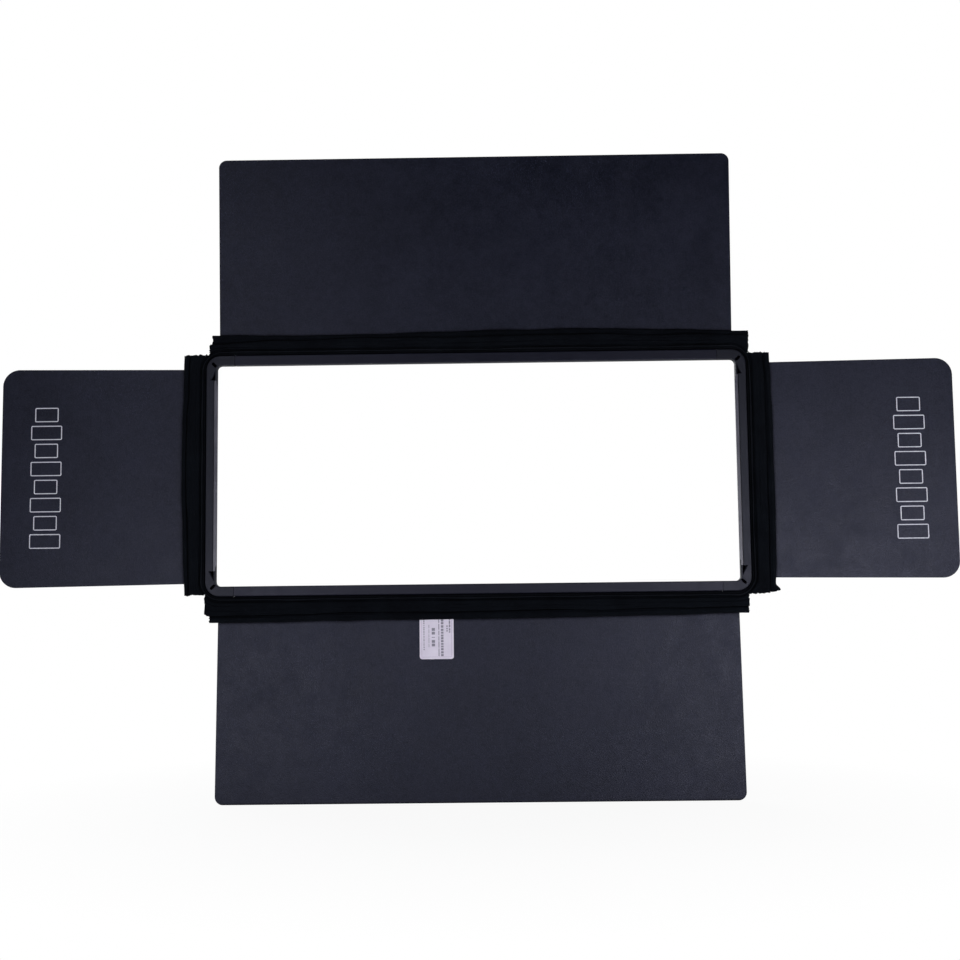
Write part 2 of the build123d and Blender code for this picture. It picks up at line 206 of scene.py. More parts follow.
def powder_coat(name, dark, light, grain, depth, rough):
    """Fine textured powder coat: grains of a size and depth in mm, with slow variation in tone, and painted
    shade in gaps and pockets.
    """
    material, nodes, place = new_material(name)
    rate = 1 / (grain * MM)
    slow = nodes.noise(place, scale=9.0, detail=3.0)
    patch = nodes.noise(place, scale=55.0, detail=4.0, roughness=0.6)
    speck = nodes.noise(place, scale=0.7 * rate, detail=1.0)
    mottle = nodes.noise(place, scale=0.22 * rate, roughness=0.6)
    tone = nodes.total((slow, 0.25), (patch, 0.15), (speck, 0.35), (mottle, 0.25))
    paint = nodes.shade(tone, dark, light, low=0.38, high=0.62)
    # Painted shade: gaps, seams and pockets turn dark and lose their reflections, as if shaded by the walls
    # round them.
    unshaded = nodes.open_share(CREVICE, low=0.45, high=0.88)
    pebbles = nodes.cells(place, scale=rate)
    fine = nodes.noise(place, scale=2.3 * rate)
    close_material(
        nodes,
        Base_Color=nodes.tint(unshaded, CREVICE_PAINTED_SHADE, paint),
        Roughness=nodes.roughness(patch, rough, below=0.05, above=0.06),
        Specular_IOR_Level=nodes.math("MULTIPLY", unshaded, PAINT_GLOSS),
        Specular_Tint=PAINT_TINT,
        Normal=nodes.bump(nodes.total((pebbles, -0.6), (fine, 0.7)), depth * MM),
    )
    return material


def plated_metal(name, dark, light, rough):
    """Plated metal with a fine grain and faint stains."""
    material, nodes, place = new_material(name)
    grain = nodes.noise(place, scale=900.0, detail=3.0, roughness=0.65)
    stain = nodes.noise(place, scale=160.0, detail=4.0)
    close_material(
        nodes,
        Base_Color=nodes.shade(stain, dark, light, high=0.7),
        Metallic=1.0,
        Roughness=nodes.roughness(grain, rough, below=0.07, above=0.1),
        Normal=nodes.bump(grain, 1.5 * FINE_BUMP),
    )
    return material


def satin_strip(name, dark, light):
    """Thin coated strip with faint lines along Z."""
    material, nodes, place = new_material(name)
    lines = nodes.lines(place, (2600.0, 2600.0, 60.0))
    slow = nodes.noise(place, scale=40.0, detail=3.0)
    close_material(
        nodes,
        Base_Color=nodes.shade(slow, dark, light),
        Roughness=nodes.roughness(lines, 0.40, below=0.06, above=0.06),
        Specular_IOR_Level=0.55,
        Normal=nodes.bump(lines, FINE_BUMP),
    )
    return material


def plastic(name, dark, light, rough):
    """Moulded plastic with a faint orange peel and some tone variation."""
    material, nodes, place = new_material(name)
    peel = nodes.noise(place, scale=1800.0)
    slow = nodes.noise(place, scale=300.0, detail=3.0)
    close_material(
        nodes,
        Base_Color=nodes.shade(slow, dark, light),
        Roughness=nodes.roughness(peel, rough, below=0.05, above=0.08),
        Subsurface_Weight=0.1,
        Subsurface_Scale=0.5 * MM,
        Normal=nodes.bump(peel, FINE_BUMP),
    )
    return material


def weave(nodes, place, threads):
    """Height of a plain weave in the XZ plane, with a number of threads per metre."""
    split = nodes.add("ShaderNodeSeparateXYZ", Vector=place)
    turn = 2 * math.pi * threads
    first, second = (nodes.math("SINE", nodes.math("MULTIPLY", split.outputs[axis], turn)) for axis in "XZ")
    over = nodes.math("MULTIPLY", first, second)
    rise = nodes.math("ADD", nodes.math("ABSOLUTE", first), nodes.math("ABSOLUTE", second))
    return nodes.total((over, 0.5), (rise, 0.35))


def cloth(name, dark, light, threads, sheen):
    """Matt woven cloth with a fine weave, fuzzy light, a little lint, and painted shade in its creases."""
    material, nodes, place = new_material(name)
    warp = nodes.math("MULTIPLY", nodes.noise(place, scale=180.0), THREAD_WANDER)
    wobble = nodes.add("ShaderNodeCombineXYZ", X=warp, Y=warp, Z=warp)
    shift = nodes.add("ShaderNodeVectorMath", Vector=place)
    shift.operation = "ADD"
    nodes.put(shift.inputs[1], wobble.outputs[0])
    height = weave(nodes, shift.outputs[0], threads)
    fuzz = nodes.noise(place, scale=2600.0, detail=3.0, roughness=0.7)
    slow = nodes.noise(place, scale=28.0, detail=4.0, roughness=0.6)
    base = nodes.shade(nodes.total((slow, 0.6), (fuzz, 0.4)), dark, light, high=0.68)
    lint = nodes.ramp(nodes.cells(place, scale=95.0), LINT_OUTSIDE, LINT_INSIDE)
    dusty = nodes.tint(nodes.math("MULTIPLY", lint, LINT_SHARE), base, LINT_COLOUR)
    # Painted shade: creases beside folds turn dark and lose their reflections and sheen, as if shaded by the
    # folds.
    unshaded_fold = nodes.open_share(FOLD_SHADE, low=0.45, high=0.95, shut=0.12)
    close_material(
        nodes,
        Base_Color=nodes.tint(unshaded_fold, CREASE_PAINTED_SHADE, dusty),
        Roughness=0.95,
        Specular_IOR_Level=nodes.math("MULTIPLY", unshaded_fold, 0.08),
        Sheen_Weight=nodes.math("MULTIPLY", unshaded_fold, sheen),
        Sheen_Roughness=0.5,
        Sheen_Tint=(0.5, 0.55, 0.65),
        Normal=nodes.bump(nodes.total((height, 0.6), (fuzz, 0.5)), THREAD_DEPTH),
    )
    return material


def paper(name, dark, light):
    """Coated label paper with faint fibres."""
    material, nodes, place = new_material(name)
    fibres = nodes.noise(place, scale=1500.0, detail=4.0, roughness=0.7)
    slow = nodes.noise(place, scale=70.0)
    close_material(
        nodes,
        Base_Color=nodes.shade(nodes.total((fibres, 0.5), (slow, 0.5)), dark, light),
        Roughness=0.6,
        Specular_IOR_Level=0.3,
        Normal=nodes.bump(fibres, FINE_BUMP),
    )
    return material


def ink(name, colour, worn):
    """Screen print: slightly uneven cover."""
    material, nodes, place = new_material(name)
    cover = nodes.noise(place, scale=900.0, detail=4.0, roughness=0.7)
    close_material(
        nodes,
        Base_Color=nodes.shade(cover, colour, worn, low=0.3, high=0.75),
        Roughness=nodes.roughness(cover, 0.55, below=0.05, above=0.1),
        Normal=nodes.bump(cover, FINE_BUMP),
    )
    return material


# Powder coats: dark and light tone, grain and its depth in mm, roughness.
LEAF = powder_coat("leaf_paint", (0.0018, 0.0027, 0.0072), (0.0098, 0.0114, 0.0216), 1.2, 0.18, 0.50)
RAIL = powder_coat("rail_paint", (0.0018, 0.0022, 0.0062), (0.0040, 0.0044, 0.0100), 0.6, 0.06, 0.46)
CASTING = powder_coat("casting_paint", (0.0018, 0.0025, 0.0044), (0.0042, 0.0052, 0.0080), 0.8, 0.08, 0.50)
BRACKET = powder_coat("bracket_paint", (0.008, 0.008, 0.010), (0.012, 0.012, 0.014), 0.5, 0.03, 0.42)
RIVET = powder_coat("rivet_paint", (0.009, 0.009, 0.011), (0.015, 0.015, 0.017), 0.6, 0.02, 0.38)
BLACKENED = powder_coat("blackened_steel", (0.010, 0.010, 0.011), (0.020, 0.020, 0.022), 0.4, 0.01, 0.34)
ANODISED = powder_coat("black_anodised", (0.006, 0.006, 0.007), (0.010, 0.010, 0.012), 0.3, 0.01, 0.40)
STRIP = satin_strip("strip_coat", (0.042, 0.042, 0.057), (0.066, 0.066, 0.083))
ZINC = plated_metal("zinc_steel", (0.38, 0.38, 0.40), (0.52, 0.52, 0.53), 0.34)
NYLON = plastic("nylon", (0.42, 0.40, 0.34), (0.55, 0.53, 0.47), 0.45)
# Cloths: dark and light tone, threads per metre, sheen.
TAPE = cloth("binding_tape", (0.0021, 0.0028, 0.0043), (0.0058, 0.0071, 0.0099), 1250.0, 0.024)
FABRIC = cloth("pleated_fabric", (0.0009, 0.0014, 0.0026), (0.0026, 0.0039, 0.0060), 1400.0, 0.012)
PAPER = paper("sticker_paper", (0.63, 0.585, 0.67), (0.73, 0.69, 0.77))
PRINT = ink("mark_ink", (0.62, 0.63, 0.68), (0.42, 0.43, 0.48))
TYPE = ink("sticker_ink", (0.16, 0.15, 0.19), (0.28, 0.27, 0.32))

SLOT_MATERIALS = {
    "leaf_paint": LEAF,
    "strip_paint": STRIP,
    "black_anodised": ANODISED,
    "dark_screws": BLACKENED,
    "hinge_black": BRACKET,
    "rivet_black": RIVET,
    "zinc_steel": ZINC,
    "nylon": NYLON,
    "binding_tape": TAPE,
    "pleated_fabric": FABRIC,
    "sticker_paper": PAPER,
}


def paint_cad():
    """Give every CAD node the detailed material of its slot."""
    for entry in frame["record"]["subparts"]:
        node = frame["nodes"][entry["node"]]
        finish = entry["material_slot"]
        if finish == "frame_paint":
            chosen = RAIL if "rail" in entry["node"] else CASTING
        else:
            chosen = SLOT_MATERIALS[finish]
        if not node.data.materials:
            node.data.materials.append(chosen)
        for slot in node.material_slots:
            slot.material = chosen


paint_cad()

# ------------------------------------------------------------------ places on the four sides

# The CAD fabric starts this far outboard of the frame's outer edge.
FABRIC_GAP = 5.3 * MM
# Radius of the frame's outer corners.
CORNER = 17.0 * MM
# The four corners of a rectangle, anticlockwise from the upper right, as the signs of their coordinates.
CORNER_SIGNS = ((1, 1), (-1, 1), (-1, -1), (1, -1))
QUARTER = math.pi / 2


class Side:
    """Directions and edges of one side of the frame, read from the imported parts."""

    def __init__(self, name, along, outboard):
        self.along = Vector(along)
        self.outboard = Vector(outboard)
        low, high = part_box(f"{name}_fabric")
        self.edge = min(self.outboard @ low, self.outboard @ high) - FABRIC_GAP
        self.rear = low.y
        self.leaf_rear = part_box(f"{name}_leaf")[0].y

    def place(self, u, v, depth):
        """Point at u along the side, v outboard of the frame's outer edge, at a depth."""
        return self.along * u + self.outboard * (self.edge + v) + Vector((0, depth, 0))

    def places(self, u, v, depth):
        """The same for arrays."""
        u, v, depth = (np.asarray(item, float)[..., None] for item in np.broadcast_arrays(u, v, depth))
        along, outboard = np.array(self.along), np.array(self.outboard)
        return u * along + (self.edge + v) * outboard + depth * np.array((0.0, 1.0, 0.0))


SIDES = {
    "top": Side("top", (1, 0, 0), (0, 0, 1)),
    "bottom": Side("bottom", (1, 0, 0), (0, 0, -1)),
    "left": Side("left", (0, 0, 1), (-1, 0, 0)),
    "right": Side("right", (0, 0, 1), (1, 0, 0)),
}

# Half the length of the frame's outer edge along each side.
HALF_WIDTH = SIDES["right"].edge
HALF_HEIGHT = SIDES["top"].edge
FRAME_HALF = {"top": HALF_WIDTH, "bottom": HALF_WIDTH, "left": HALF_HEIGHT, "right": HALF_HEIGHT}


def add_object(name, mesh, material):
    """Link a mesh into the scene as an object with a material."""
    mesh.materials.append(material)
    made = bpy.data.objects.new(name, mesh)
    bpy.context.scene.collection.objects.link(made)
    return made


def smooth_object(name, vertices, faces, material):
    """Make a smooth-shaded object from arrays of points and faces."""
    mesh = bpy.data.meshes.new(name)
    mesh.from_pydata([tuple(item) for item in vertices], [], [tuple(item) for item in faces])
    mesh.validate()
    work = bmesh.new()
    work.from_mesh(mesh)
    bmesh.ops.recalc_face_normals(work, faces=work.faces)
    work.to_mesh(mesh)
    work.free()
    mesh.polygons.foreach_set("use_smooth", [True] * len(mesh.polygons))
    return add_object(name, mesh, material)


# ------------------------------------------------------------------ smooth curves


def ease_between(knots, count):
    """Smooth curve of a given count of points through evenly spaced knots."""
    knots = np.asarray(knots, float)
    place = np.linspace(0, len(knots) - 1, count)
    index = np.minimum(place.astype(int), len(knots) - 2)
    part = place - index
    ease = (1 - np.cos(part * math.pi)) / 2
    return knots[index] * (1 - ease) + knots[index + 1] * ease


def wander(rng, count, spacing, length):
    """Smooth random curve with a knot about every spacing."""
    return ease_between(rng.standard_normal(max(int(length / spacing), 2) + 2), count)


def spline(points, steps):
    """Uniform cubic B-spline along axis 1 of an array of control points, with clamped ends."""
    first, last = points[:, :1], points[:, -1:]
    points = np.concatenate([first, first, points, last, last], axis=1)
    t = (np.arange(steps) / steps)[None, None, :, None]
    weights = (
        (1 - t) ** 3 / 6,
        (3 * t**3 - 6 * t**2 + 4) / 6,
        (-3 * t**3 + 3 * t**2 + 3 * t + 1) / 6,
        t**3 / 6,
    )
    spans = points.shape[1] - 3
    curve = sum(w * points[:, k : k + spans, None, :] for k, w in enumerate(weights))
    curve = curve.reshape(points.shape[0], spans * steps, points.shape[2])
    return np.concatenate([curve, last], axis=1)


# ------------------------------------------------------------------ pleated fabric

# A strip's grid is worked out in mm and turned into metres when its points are placed.
ROW_STEP = 2.0
CURVE_STEPS = 5
THICKNESS = 0.7
# Clearance between the hem and the leaf.
HEM_GAP = 0.15
# How far outboard the strip's start and the groove beside the binding lie, and how far inboard of a straight
# edge either may come where it follows the frame's rounded corners.
TUCK_REACH, TUCK_LIMIT = 3.2, -3.4
GROOVE_REACH, GROOVE_LIMIT = 6.3, -2.0
# Length of an ear, from the strip's end to where it has mostly faded out.
EAR_LENGTH = 4.5
# How far the points near an end move with its cut, how far single threads stick out, and the width over which
# the cut changes from the fold to the outer layer.
END_REACH = 14.0
RAGGED = 0.42
LAYER_WIDTH = 3.0
# Creases: how many lie on the fold and on the outer layer, depth, width, spacing and size of their sideways
# wandering (the size as a share of the band), spacing of their fading, how far it leans to being there, and
# its most.
FOLD_CREASES, OUTER_CREASES = 5, 3
CREASE_DEPTH, CREASE_WIDTH = 0.42, 0.75
CREASE_WANDER_SPACING, CREASE_WANDER = 90, 0.05
CREASE_FADE_SPACING, CREASE_LEAN, CREASE_MOST = 60, 0.35, 1.3
# Puckers where the cloth is gathered: spacing and height of each set, and the turns in radians of their two
# waves across the strip.
PUCKERS = ((8, 0.10), (21, 0.16))
PUCKER_TURNS = (9, 14)

# Distances outboard of the frame's outer edge, in metres, for the start and end of a bend over a hinge; the
# strips work out these places, but no bend is made with them.
BLEND_START = 6.0 * MM
BLEND_END = 26.0 * MM


@dataclass
class Strip:
    """One fabric strip, in mm. Its reach and its fold are distances outboard at even places along it."""

    side: str
    # Where it starts and ends along the side.
    ends: tuple
    # Its outer edge.
    reach: tuple
    # The edge of the fold that lies on the outer layer.
    fold: tuple
    # How far the outer layer rises towards the fold beside it: 0 lies low, 1 is nearly level.
    flush: float
    # How much further in the outer layer is cut at the start and at the end.
    stagger: tuple
    # How much further in the outer edge is cut at the start and at the end.
    slant: tuple
    seed: int
    # How far the outer edge sticks out at the very start.
    ear: float = 0.0


STRIPS = (
    Strip(
        "top",
        ends=(-317.2, 324.6),
        reach=(25.0, 23.5, 24.0, 25.6, 27.5, 27.2, 25.2, 22.5),
        fold=(13.5, 17.0, 18.3, 18.4, 19.2, 19.4, 18.0, 16.5),
        flush=0.1,
        stagger=(3.0, 0.8),
        slant=(0.0, 0.0),
        seed=11,
    ),
    Strip(
        "bottom",
        ends=(-321.0, 317.5),
        reach=(30.4, 30.6, 29.4, 29.1, 28.6, 28.2, 26.7, 25.2),
        fold=(22.5, 22.0, 21.0, 20.0, 19.8, 19.7, 18.6, 17.5),
        flush=0.6,
        stagger=(5.5, -0.4),
        slant=(0.0, 0.0),
        seed=23,
    ),
    Strip(
        "left",
        ends=(-141.0, 144.6),
        reach=(24.2, 26.5, 27.8, 28.7, 28.7, 28.4, 28.0, 27.2),
        fold=(18.5, 19.2, 20.5, 23.0, 23.0, 22.0, 19.8, 18.5),
        flush=0.95,
        stagger=(-0.8, 0.8),
        slant=(0.0, 1.5),
        seed=37,
    ),
    Strip(
        "right",
        ends=(-147.0, 138.9),
        reach=(28.6, 29.4, 30.1, 30.3, 30.3, 29.8, 29.3, 28.5),
        fold=(20.4, 20.9, 21.2, 21.0, 20.6, 20.2, 20.6, 19.8),
        flush=0.6,
        stagger=(0.5, -0.6),
        slant=(3.6, -0.6),
        seed=41,
        ear=5.6,
    ),
)


def corner_inset(half, u, reach):
    """How far outboard a band of a given reach lies at u, where it follows the frame's rounded corner."""
    corner = CORNER / MM
    past = np.clip(np.abs(u) - (half - corner), 0, None)
    return np.sqrt(np.clip((corner + reach) ** 2 - past**2, 0, None)) - corner


def crease_depth(rng, v, low, high, length, count):
    """Depth of narrow creases that run along a band of cloth, wander a little and fade in and out."""
    rows = len(low)
    total = np.zeros_like(v)
    for index in range(count):
        share = (index + rng.uniform(0.2, 0.8)) / count
        share = share + wander(rng, rows, CREASE_WANDER_SPACING, length) * CREASE_WANDER
        centre = low + (high - low) * share
        strength = np.clip(wander(rng, rows, CREASE_FADE_SPACING, length) + CREASE_LEAN, 0, CREASE_MOST)
        total += strength[:, None] * np.exp(-(((v - centre[:, None]) / CREASE_WIDTH) ** 2))
    return total * CREASE_DEPTH


def pucker_depth(rng, rows, columns, length):
    """Depth of small puckers that run across the folds where the cloth is gathered."""
    share = np.linspace(0, 1, columns)[None, :]
    middle = np.sqrt(np.sin(math.pi * share))
    waves = (np.cos(PUCKER_TURNS[0] * share), np.sin(PUCKER_TURNS[1] * share))
    total = np.zeros((rows, columns))
    for spacing, size in PUCKERS:
        for wave in waves:
            total += size * middle * wander(rng, rows, spacing, length)[:, None] * wave
    return total


def end_shift(rng, strip, along, length, layer, out):
    """How far the points near a strip's two ends move along it: cuts, slants and uneven raw edges."""
    shift = np.zeros_like(out)
    columns = out.shape[1]
    for edge, sign in ((0, 1), (1, -1)):
        ragged = wander(rng, columns, 1.0, columns / 3.0)[None, :] * RAGGED
        near = np.abs(along - edge)[:, None] * length
        cut = strip.stagger[edge] * layer + sign * strip.slant[edge] * out * out
        shift += (cut + ragged) * np.exp(-((near / END_REACH) ** 2))
    return shift


def strip_grid(strip):
    """Centre surface of a strip as a grid of points: rows along the side, columns across it."""
    side = SIDES[strip.side]
    rng = np.random.default_rng(strip.seed)
    start, end = strip.ends
    length = end - start
    rows = int(length / ROW_STEP) + 1
    along = np.linspace(0, 1, rows)
    u = start + along * length
    half = FRAME_HALF[strip.side] / MM

    def curve(spacing, size):
        return wander(rng, rows, spacing, length) * size

    def rise(low, high):
        return low + (high - low) * strip.flush

    # Lines along the strip, as distances outboard of the frame's outer edge.
    outer = ease_between(strip.reach, rows) + curve(45, 0.3) + curve(13, 0.12)
    fold = ease_between(strip.fold, rows) + curve(60, 0.5) + curve(17, 0.16)
    outer = outer + strip.ear * np.exp(-((along * length) / EAR_LENGTH) ** 2)
    tuck = np.clip(corner_inset(half, u, TUCK_REACH), TUCK_LIMIT, None)
    groove = np.clip(corner_inset(half, u, GROOVE_REACH), GROOVE_LIMIT, None)
    width = fold - groove
    last = outer - fold
    bulge = curve(80, 0.18)
    mid = curve(50, 0.7)
    dent = 0.35 + curve(35, 0.25)
    zero = np.zeros(rows)
    hem = zero + side.leaf_rear / MM - HEM_GAP - THICKNESS / 2

    # Control points across the strip, as distance outboard and depth.
    across = [
        # Under the binding, then out of the groove beside it.
        (tuck, zero + 2.45),
        (tuck + 1.2, zero + 2.45),
        (groove, zero + 2.75),
        (groove + 1.1, 2.5 + curve(20, 0.1)),
        (groove + 2.0, 1.3 + bulge),
        # Over the flat of the fold, which has a shallow dent.
        (groove + width * 0.32, 0.8 + bulge),
        (groove + width * 0.46 + mid, 0.75 + bulge + dent),
        (groove + width * 0.62 + mid, 0.65 + bulge + curve(25, 0.12)),
        (fold - 2.6, 0.45 + bulge + curve(18, 0.08)),
        # Round the fold's edge and back under it.
        (fold - 0.3, 0.7 + bulge),
        (fold + 0.7, 1.8 + bulge),
        (fold - 0.6, 2.9 + bulge),
        (fold - 2.6, 3.1 + bulge),
        (fold - 2.9, 4.0 + bulge),
        (fold - 1.0, 4.2 + curve(30, 0.12)),
        # Out over the outer layer.
        (fold + last * 0.32, rise(3.6, 2.0) + curve(40, 0.2)),
        (fold + last * 0.6, rise(3.55, 1.5) + curve(22, 0.2)),
        (outer - 1.2, rise(4.0, 2.1) + curve(30, 0.15)),
        # Round the outer edge, down to the leaf and back along it as a hem.
        (outer + 0.35, zero + rise(5.0, 3.8)),
        (outer + 0.2, zero + 6.4),
        (outer - 1.4, zero + 7.5),
        (outer - 3.4, hem),
        (outer - 5.6, hem),
    ]
    points = np.stack([np.stack(pair, axis=-1) for pair in across], axis=1)
    section = spline(points, CURVE_STEPS)
    v, depth = section[..., 0], section[..., 1]
    depth = depth + pucker_depth(rng, rows, v.shape[1], length)
    depth = depth + crease_depth(rng, v, groove + 2.5, fold - 0.5, length, FOLD_CREASES)
    depth = depth + crease_depth(rng, v, fold + 1.5, outer - 1.0, length, OUTER_CREASES)
    layer = np.clip((v - fold[:, None]) / LAYER_WIDTH + 0.5, 0, 1)
    out = np.clip(v / outer[:, None], 0, 1)
    shift = end_shift(rng, strip, along, length, layer, out)
    return side.places((u[:, None] + shift) * MM, v * MM, depth * MM)


# Keeps a division by a length from failing.
TINY = 1e-12


def close_grid(points, thickness):
    """Closed shell round a grid: two offset skins joined along the border."""
    rows, columns = points.shape[:2]
    normal = np.cross(np.gradient(points, axis=0), np.gradient(points, axis=1))
    normal /= np.maximum(np.linalg.norm(normal, axis=2, keepdims=True), TINY)
    skins = [points + normal * thickness / 2, points - normal * thickness / 2]
    vertices = np.concatenate([skin.reshape(-1, 3) for skin in skins])
    count = rows * columns
    index = np.arange(count).reshape(rows, columns)
    quad = np.stack([index[:-1, :-1], index[1:, :-1], index[1:, 1:], index[:-1, 1:]], axis=-1).reshape(-1, 4)
    border = np.concatenate([index[0, :-1], index[:-1, -1], index[-1, :0:-1], index[:0:-1, 0]])
    following = np.roll(border, -1)
    rim = np.stack([border, following, following + count, border + count], axis=-1)
    return vertices, np.concatenate([quad, quad[:, ::-1] + count, rim])


def make_strip(strip):
    """Pleated fabric over one hinge, reaching from the frame to the leaf."""
    side = SIDES[strip.side]
    vertices, faces = close_grid(strip_grid(strip), THICKNESS * MM)
    piece = smooth_object(f"{strip.side}_pleated_fabric", vertices, faces, FABRIC)
    start = side.place(0, BLEND_START, side.rear)
    end = side.place(0, BLEND_END, side.rear)
    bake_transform(piece)
    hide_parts(f"{strip.side}_fabric")


for strip in STRIPS:
    make_strip(strip)

# ------------------------------------------------------------------ binding round the frame

CORNER_STEPS = 18
PATH_STEP = 2.4 * MM


def frame_path():
    """Points and outward directions round the frame's outer edge, and how far into a corner each lies."""
    reach_x, reach_z = HALF_WIDTH - CORNER, HALF_HEIGHT - CORNER
    points, outward, bend = [], [], []
    for index, (sx, sz) in enumerate(CORNER_SIGNS):
        centre = np.array((sx * reach_x, sz * reach_z))
        for k in range(CORNER_STEPS):
            angle = QUARTER * (index + k / CORNER_STEPS)
            way = np.array((math.cos(angle), math.sin(angle)))
            points.append(centre + CORNER * way)
            outward.append(way)
            bend.append(math.sin(math.pi * k / CORNER_STEPS))
        following = QUARTER * (index + 1)
        way = np.array((math.cos(following), math.sin(following)))
        ahead = np.array((-way[1], way[0]))
        run = 2 * (reach_x if index % 2 == 0 else reach_z)
        count = int(run / PATH_STEP)
        for k in range(count):
            points.append(centre + CORNER * way + ahead * run * k / count)
            outward.append(way)
            bend.append(0.0)
    return np.array(points), np.array(outward), np.array(bend)


# Section of the binding, in mm: distance outboard and depth, from the frame's edge out and back.
BINDING_SECTION = (
    (0.7, 2.95),
    (0.7, 2.60),
    (1.6, 2.55),
    (2.7, 2.50),
    (3.3, 1.80),
    (3.45, 0.90),
    (3.85, 0.35),
    (4.6, 0.30),
    (5.15, 0.70),
    (5.25, 1.35),
    (4.9, 1.85),
    (3.6, 1.95),
    (3.1, 2.35),
    (2.9, 2.93),
)
# The section moves as a cord does from this distance outboard, fully so after this width, in mm.
CORD_START, CORD_WIDTH = 2.6, 1.6
# In the middle of a corner the section is pulled in by this much at this distance from its inner edge, in mm.
CORNER_PULL, PULL_WIDTH = 0.5, 4.4
# Ripples of the cord: waves round the frame, and size in mm. They sway it, lift it and roughen it.
SWAY = ((7, 11, 17, 29), 0.9)
LIFT = ((23, 41, 67), 0.25)
STITCHES = ((311, 173), 0.06)


def make_binding():
    """Woven binding with a raised cord, sewn round the frame's flange."""
    rng = np.random.default_rng(61)
    points, outward, bend = frame_path()
    count = len(points)
    loop = np.arange(count) / count * 2 * math.pi

    def ripple(waves, size):
        phases = rng.uniform(0, 2 * math.pi, len(waves))
        return sum(np.sin(wave * loop + phase) for wave, phase in zip(waves, phases)) * size / len(waves)

    sway = ripple(*SWAY)
    lift = ripple(*LIFT)
    inner = BINDING_SECTION[0][0]
    rings = []
    for v, depth in BINDING_SECTION:
        cord = min(max((v - CORD_START) / CORD_WIDTH, 0), 1)
        reach = v + cord * sway - bend * CORNER_PULL * (v - inner) / PULL_WIDTH
        level = depth + (lift + ripple(*STITCHES)) * cord
        place = points + outward * reach[:, None] * MM
        rings.append(np.stack([place[:, 0], level * MM, place[:, 1]], axis=-1))
    grid = np.stack(rings, axis=1)
    index = np.arange(count * len(rings)).reshape(count, len(rings))
    ahead = np.roll(index, -1, axis=0)
    faces = np.stack([index, np.roll(index, -1, axis=1), np.roll(ahead, -1, axis=1), ahead], axis=-1)
    binding = smooth_object("binding", grid.reshape(-1, 3), faces.reshape(-1, 4), TAPE)
    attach(binding, "frame")
    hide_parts("fabric_binding")


make_binding()

# ------------------------------------------------------------------ printed marks

# Directions on a rear face, and how far a print stands proud of it.
ACROSS, UP, REARWARD = Vector((1, 0, 0)), Vector((0, 0, 1)), Vector((0, -1, 0))
INK_HEIGHT = 0.06 * MM
# Steps round a corner of an outlined shape and of a solid one.
RING_STEPS, PATCH_STEPS = 8, 3
# Least radius inside an outline, and the radius of a solid shape's corners.
LEAST_CORNER = 0.1 * MM
PATCH_CORNER = 0.2 * MM


def rounded_outline(width, height, corner, steps):
    """Points round a rounded rectangle, centred on the origin."""
    points = []
    for index, (sx, sy) in enumerate(CORNER_SIGNS):
        centre = Vector((sx * (width / 2 - corner), sy * (height / 2 - corner)))
        for step in range(steps + 1):
            angle = QUARTER * (index + step / steps)
            points.append(centre + corner * Vector((math.cos(angle), math.sin(angle))))
    return points


def add_loop(work, centre, outline, lift):
    """Points of an outline round a centre, lifted off the face."""
    return [work.verts.new(centre + ACROSS * p.x + UP * p.y + REARWARD * lift) for p in outline]


def join_loops(work, low, high):
    """Faces between two loops of as many points."""
    for index in range(len(low)):
        after = (index + 1) % len(low)
        work.faces.new((low[index], low[after], high[after], high[index]))


def add_ring(work, centre, width, height, corner, stroke):
    """Raised outline of a rounded rectangle."""
    outer = rounded_outline(width, height, corner, RING_STEPS)
    inner_corner = max(corner - stroke, LEAST_CORNER)
    inner = rounded_outline(width - 2 * stroke, height - 2 * stroke, inner_corner, RING_STEPS)
    sides = ((outer, 0), (outer, INK_HEIGHT), (inner, INK_HEIGHT), (inner, 0))
    loops = [add_loop(work, centre, outline, lift) for outline, lift in sides]
    for low, high in zip(loops, loops[1:] + loops[:1]):
        join_loops(work, low, high)


def add_patch(work, centre, width, height):
    """Raised solid rectangle with slightly rounded corners."""
    outline = rounded_outline(width, height, PATCH_CORNER, PATCH_STEPS)
    low = add_loop(work, centre, outline, 0)
    high = add_loop(work, centre, outline, INK_HEIGHT)
    work.faces.new(high)
    work.faces.new(low[::-1])
    join_loops(work, low, high)


def finish_print(work, name, material, body):
    """Turn printed shapes into an object that rides on a body."""
    bmesh.ops.recalc_face_normals(work, faces=work.faces)
    mesh = bpy.data.meshes.new(name)
    work.to_mesh(mesh)
    work.free()
    made = add_object(name, mesh, material)
    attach(made, body)


# A mark's cells: how many, their spacing and length along the leaf, their widths by turns, the width of
# their lines, the radius of their corners, and how far inside the leaf's outer edge their middle lies.
MARK_CELLS = 8
MARK_PITCH = 21.6 * MM
MARK_LENGTH = 17.2 * MM
MARK_WIDTHS = (37.0 * MM, 28.0 * MM)
MARK_STROKE = 1.15 * MM
MARK_CORNER = 1.8 * MM
MARK_INSET = 53.5 * MM


def make_mark(side_name, hand):
    """Generic mark near the outer edge of a side leaf: a row of outlined cells, wide and narrow by turns."""
    low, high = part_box(f"{side_name}_leaf")
    outer = low.x if hand < 0 else high.x
    middle = Vector((outer - hand * MARK_INSET, low.y, (low.z + high.z) / 2))
    work = bmesh.new()
    for index in range(MARK_CELLS):
        centre = middle + UP * (index - (MARK_CELLS - 1) / 2) * MARK_PITCH
        width = MARK_WIDTHS[index % len(MARK_WIDTHS)]
        add_ring(work, centre, width, MARK_LENGTH, MARK_CORNER, MARK_STROKE)
    finish_print(work, f"{side_name}_mark", PRINT, f"{side_name}_leaf_body")


make_mark("left", -1)
make_mark("right", 1)

